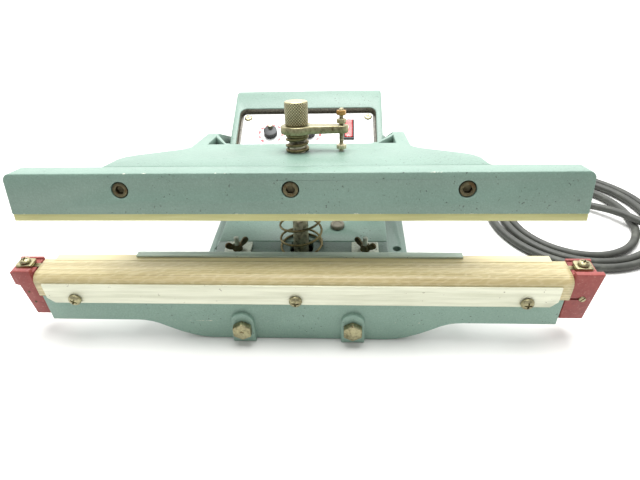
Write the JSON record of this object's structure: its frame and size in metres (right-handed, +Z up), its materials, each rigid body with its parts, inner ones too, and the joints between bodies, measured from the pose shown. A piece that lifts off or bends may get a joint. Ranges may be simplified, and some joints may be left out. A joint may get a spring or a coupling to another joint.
{
  "type": "impulse heat sealer",
  "caption": "Foot-operated impulse heat sealer head: a sprung upper jaw on a fork arm closes on a cloth-covered heated bar, with a control box, pull rod and mains cord.",
  "frame": {"origin": "on the bench, midway across the machine and midway from the jaw bolts to the back of the base", "axes": "+X along the jaws to the right, +Y from the jaws to the control box, +Z up"},
  "size_m": [0.731, 0.4149, 0.2013],
  "materials": {
    "paint": "pale grey-green hammered enamel",
    "aluminium": "brushed, lightly tarnished",
    "nickel": "warm nickel plate, dulled",
    "steel": "zinc-plated steel",
    "cloth": "tan glass cloth coated with fluoropolymer, satin",
    "silicone": "cream silicone rubber, matt",
    "red_block": "dark red phenolic board",
    "switch_red": "translucent red, polished",
    "black_plastic": "black moulded plastic",
    "panel": "white printed plate, satin",
    "core": "varnished laminations and board",
    "brass": "oiled bronze",
    "cord_rubber": "black-grey rubber cord sheath"
  },
  "bodies": {
    "base": {"lower_jaw_casting": "paint", "base_casting": "paint", "control_housing": "paint", "sealing_bar": "aluminium", "front_clamp_strip": "aluminium", "rear_clamp_plate": "aluminium", "table_plate_left": "aluminium", "table_plate_right": "aluminium", "ptfe_cloth": "cloth", "strip_screw_1": "nickel", "strip_screw_2": "nickel", "strip_screw_3": "nickel", "element_clamp_left": "nickel", "element_clamp_right": "nickel", "clamp_screw_left": "nickel", "clamp_screw_right": "nickel", "return_spring": "nickel", "heating_element": "steel", "jaw_bolt_left": "steel", "jaw_bolt_right": "steel", "bottom_cover": "steel", "pivot_shaft": "steel", "end_block_left": "red_block", "end_block_right": "red_block", "power_switch_body": "black_plastic", "control_panel": "panel", "transformer": "core", "timer_board": "core", "seal_timer_potentiometer": "core", "cool_timer_potentiometer": "core", "deck_plug": "cord_rubber", "strain_relief": "cord_rubber", "cord_lead": "cord_rubber", "cord_coil": "cord_rubber", "cord_tail": "cord_rubber", "mains_plug": "cord_rubber"},
    "arm": {"arm_casting": "paint", "upper_bar": "paint", "bar_screw_left": "steel", "bar_screw_middle": "steel", "bar_screw_right": "steel", "silicone_strip": "silicone", "microswitch": "black_plastic", "pivot_bush_left": "brass", "pivot_bush_right": "brass", "pressure_spring": "nickel"},
    "rod": {"pull_rod": "steel", "trigger_lever": "nickel", "trigger_screw": "nickel", "trigger_nut_1": "nickel", "trigger_nut_2": "nickel"},
    "pressure_nut": {"knurled_nut": "nickel"},
    "plunger": {"switch_plunger": "steel"},
    "seal_dial": {"seal_timer_knob": "black_plastic"},
    "cool_dial": {"cool_timer_knob": "black_plastic"},
    "rocker": {"power_rocker": "switch_red"},
    "left_wing_nut": {"wing_nut_left": "nickel"},
    "right_wing_nut": {"wing_nut_right": "nickel"}
  },
  "joints": [
    {"name": "jaw_hinge", "type": "hinge", "parent": "base", "child": "arm", "pos_m": [0, 0.1146, 0.0772], "axis": [1, 0, 0], "range_deg": [0, 12], "stiffness_Nm_per_rad": 45, "springref_deg": -34.38, "deforming": ["return_spring"]},
    {"name": "rod_slide", "type": "slide", "parent": "arm", "child": "rod", "axis": [0, -0.2158, -0.9764], "range_m": [0, 0.0018], "stiffness_N_per_m": 8000, "springref_m": -0.004, "deforming": ["pressure_spring"]},
    {"name": "nut_turn", "type": "hinge", "parent": "rod", "child": "pressure_nut", "pos_m": [0, -0.03764, 0.1854], "axis": [0, 0.2158, 0.9764], "continuous": true},
    {"name": "plunger_slide", "type": "slide", "parent": "arm", "child": "plunger", "axis": [0, -0.2158, -0.9764], "range_m": [0, 0.0018]},
    {"name": "seal_dial_turn", "type": "hinge", "parent": "base", "child": "seal_dial", "pos_m": [-0.042, 0.06827, 0.12572], "axis": [0, -0.4115, 0.9114], "range_deg": [-140, 140]},
    {"name": "cool_dial_turn", "type": "hinge", "parent": "base", "child": "cool_dial", "pos_m": [0.002, 0.06827, 0.12572], "axis": [0, -0.4115, 0.9114], "range_deg": [-140, 140]},
    {"name": "rocker_tilt", "type": "hinge", "parent": "base", "child": "rocker", "pos_m": [0.048, 0.06802, 0.12627], "axis": [1, 0, 0], "range_deg": [-14, 0]},
    {"name": "left_wing_turn", "type": "hinge", "parent": "base", "child": "left_wing_nut", "pos_m": [-0.0645, -0.0709, 0.062], "axis": [0, 0, 1], "continuous": true},
    {"name": "right_wing_turn", "type": "hinge", "parent": "base", "child": "right_wing_nut", "pos_m": [0.0645, -0.0709, 0.062], "axis": [0, 0, 1], "continuous": true}
  ],
  "couplings": [
    {"joint": "plunger_slide", "follows": "rod_slide", "ratio": 1}
  ]
}
